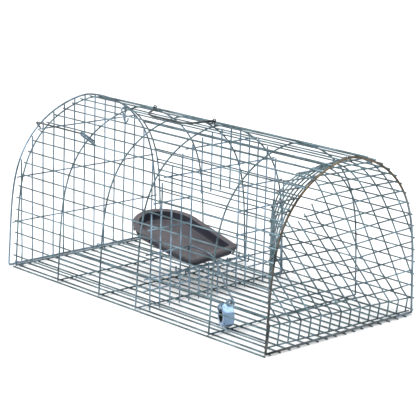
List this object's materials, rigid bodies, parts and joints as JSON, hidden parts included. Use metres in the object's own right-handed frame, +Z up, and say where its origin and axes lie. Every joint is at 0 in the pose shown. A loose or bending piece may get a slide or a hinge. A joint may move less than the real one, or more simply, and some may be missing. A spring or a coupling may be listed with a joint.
{
  "type": "live catch trap",
  "caption": "Arched welded-mesh cage trap for live catch, with a cone-shaped mesh entry, a tilting pan with a nut as counterweight, a hinged rear door and a folding handle.",
  "frame": {"origin": "middle of the cage's footprint, at the level it stands on", "axes": "+Z up, +X along the cage towards the entry cone, -X towards the rear door, +Y across the cage"},
  "size_m": [0.3988, 0.2152, 0.1828],
  "materials": {
    "galvanised_wire": "satin zinc coating",
    "bronzed_wire": "satin",
    "zinc_plate": "bright zinc plate",
    "dark_plastic": "fine matt"
  },
  "bodies": {
    "cage": {"wall_near": "galvanised_wire", "shoulder_near_low": "galvanised_wire", "shoulder_near_high": "galvanised_wire", "roof_near": "galvanised_wire", "roof_crown": "galvanised_wire", "roof_far": "galvanised_wire", "shoulder_far_high": "galvanised_wire", "shoulder_far_low": "galvanised_wire", "wall_far": "galvanised_wire", "floor_mesh": "galvanised_wire", "front_arch": "bronzed_wire", "funnel_sill": "galvanised_wire", "funnel_near_low": "galvanised_wire", "funnel_near_side": "galvanised_wire", "funnel_near_high": "galvanised_wire", "funnel_near_crown": "galvanised_wire", "funnel_far_crown": "galvanised_wire", "funnel_far_high": "galvanised_wire", "funnel_far_side": "galvanised_wire", "funnel_far_low": "galvanised_wire", "partition_sill": "galvanised_wire", "partition_header": "galvanised_wire", "partition_near_field": "galvanised_wire", "partition_far_field": "galvanised_wire", "door_ring_near": "galvanised_wire", "door_ring_far": "galvanised_wire", "axle_hanger_near": "galvanised_wire", "axle_hanger_far": "galvanised_wire", "handle_eye_rear": "galvanised_wire", "handle_eye_front": "galvanised_wire"},
    "rear_door": {"door_frame": "galvanised_wire", "door_mesh": "galvanised_wire"},
    "latch": {"latch_rod": "galvanised_wire", "latch_spring": "galvanised_wire"},
    "pan": {"pan_tray": "dark_plastic", "pan_axle": "galvanised_wire", "counterweight_arm": "galvanised_wire", "hex_nut": "zinc_plate"},
    "handle": {"handle_bail": "galvanised_wire"},
    "hook": {"bait_hook": "galvanised_wire"}
  },
  "joints": [
    {"name": "rear_door_hinge", "type": "hinge", "parent": "cage", "child": "rear_door", "pos_m": [-0.1949, 0, 0.0012], "axis": [0, -1, 0], "range_deg": [0, 88]},
    {"name": "latch_lift", "type": "hinge", "parent": "cage", "child": "latch", "pos_m": [-0.092, -0.06973, 0.14482], "axis": [0, 0.7185, 0.6955], "range_deg": [0, 12], "stiffness_Nm_per_rad": 0.02},
    {"name": "pan_tilt", "type": "hinge", "parent": "cage", "child": "pan", "pos_m": [0.008, 0, 0.0285], "axis": [0, -1, 0], "range_deg": [0, 17]},
    {"name": "handle_fold", "type": "hinge", "parent": "cage", "child": "handle", "pos_m": [-0.037, 0, 0.1796], "axis": [-1, 0, 0], "range_deg": [0, 180]},
    {"name": "hook_swing", "type": "hinge", "parent": "cage", "child": "hook", "pos_m": [-0.115, -0.01418, 0.1735], "axis": [1, 0, 0], "range_deg": [-40, 40]}
  ]
}
